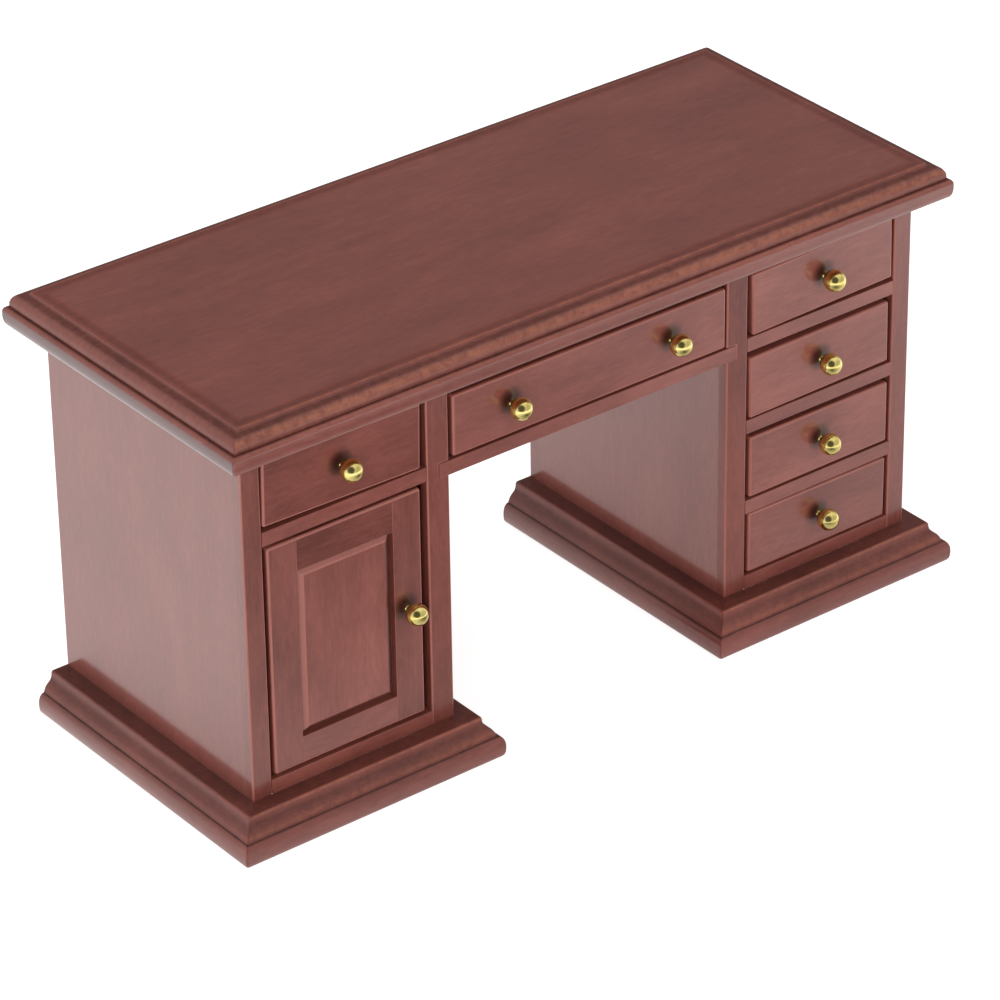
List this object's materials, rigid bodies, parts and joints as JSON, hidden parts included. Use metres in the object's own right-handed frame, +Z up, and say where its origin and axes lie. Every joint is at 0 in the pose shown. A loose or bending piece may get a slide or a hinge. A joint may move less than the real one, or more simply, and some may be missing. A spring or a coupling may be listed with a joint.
{
  "type": "dolls house dressing table",
  "caption": "Miniature mahogany twin-pedestal dressing table or desk: moulded top, kneehole, panelled cupboard door, sliding drawers, brass ball knobs and plinth mouldings.",
  "frame": {"origin": "bottom centre of the whole table's bounding box, on the floor it stands on", "axes": "+X to the right along the front as a sitter sees it, +Y from the front to the back, +Z up; the drawers and the door face -Y"},
  "size_m": [0.1526, 0.0654, 0.0781],
  "materials": {
    "mahogany": "red-brown stained hardwood under satin-gloss varnish",
    "drawer_lining": "plain unvarnished thin hardwood",
    "brass": "polished turned brass"
  },
  "bodies": {
    "carcass": {"centre_back": "mahogany", "centre_shelf": "mahogany", "left_back": "mahogany", "left_floor": "mahogany", "left_inner_side": "mahogany", "left_inner_stile": "mahogany", "left_outer_side": "mahogany", "left_outer_stile": "mahogany", "left_plinth_front": "mahogany", "left_plinth_inner": "mahogany", "left_plinth_outer": "mahogany", "left_shelf": "mahogany", "right_back": "mahogany", "right_floor": "mahogany", "right_inner_side": "mahogany", "right_inner_stile": "mahogany", "right_lower_shelf": "mahogany", "right_middle_shelf": "mahogany", "right_outer_side": "mahogany", "right_outer_stile": "mahogany", "right_plinth_front": "mahogany", "right_plinth_inner": "mahogany", "right_plinth_outer": "mahogany", "right_upper_shelf": "mahogany", "table_top": "mahogany", "top_rail": "mahogany"},
    "left_drawer": {"left_drawer_bottom": "drawer_lining", "left_drawer_frame": "drawer_lining", "left_drawer_front": "mahogany", "left_drawer_knob": "brass"},
    "centre_drawer": {"centre_drawer_bottom": "drawer_lining", "centre_drawer_frame": "drawer_lining", "centre_drawer_front": "mahogany", "centre_drawer_knob_left": "brass", "centre_drawer_knob_right": "brass"},
    "right_drawer_1": {"right_drawer_1_bottom": "drawer_lining", "right_drawer_1_frame": "drawer_lining", "right_drawer_1_front": "mahogany", "right_drawer_1_knob": "brass"},
    "right_drawer_2": {"right_drawer_2_bottom": "drawer_lining", "right_drawer_2_frame": "drawer_lining", "right_drawer_2_front": "mahogany", "right_drawer_2_knob": "brass"},
    "right_drawer_3": {"right_drawer_3_bottom": "drawer_lining", "right_drawer_3_frame": "drawer_lining", "right_drawer_3_front": "mahogany", "right_drawer_3_knob": "brass"},
    "right_drawer_4": {"right_drawer_4_bottom": "drawer_lining", "right_drawer_4_frame": "drawer_lining", "right_drawer_4_front": "mahogany", "right_drawer_4_knob": "brass"},
    "door": {"door_bottom_pin": "brass", "door_bottom_rail": "mahogany", "door_hinge_stile": "mahogany", "door_knob": "brass", "door_knob_stile": "mahogany", "door_panel": "mahogany", "door_top_pin": "brass", "door_top_rail": "mahogany"}
  },
  "joints": [
    {"name": "left_drawer_slide", "type": "slide", "parent": "carcass", "child": "left_drawer", "axis": [0, -1, 0], "range_m": [0, 0.034]},
    {"name": "centre_drawer_slide", "type": "slide", "parent": "carcass", "child": "centre_drawer", "axis": [0, -1, 0], "range_m": [0, 0.034]},
    {"name": "right_drawer_1_slide", "type": "slide", "parent": "carcass", "child": "right_drawer_1", "axis": [0, -1, 0], "range_m": [0, 0.034]},
    {"name": "right_drawer_2_slide", "type": "slide", "parent": "carcass", "child": "right_drawer_2", "axis": [0, -1, 0], "range_m": [0, 0.034]},
    {"name": "right_drawer_3_slide", "type": "slide", "parent": "carcass", "child": "right_drawer_3", "axis": [0, -1, 0], "range_m": [0, 0.034]},
    {"name": "right_drawer_4_slide", "type": "slide", "parent": "carcass", "child": "right_drawer_4", "axis": [0, -1, 0], "range_m": [0, 0.034]},
    {"name": "door_hinge", "type": "hinge", "parent": "carcass", "child": "door", "pos_m": [-0.0644, -0.02545, 0.0321], "axis": [0, 0, -1], "range_deg": [0, 110]}
  ]
}
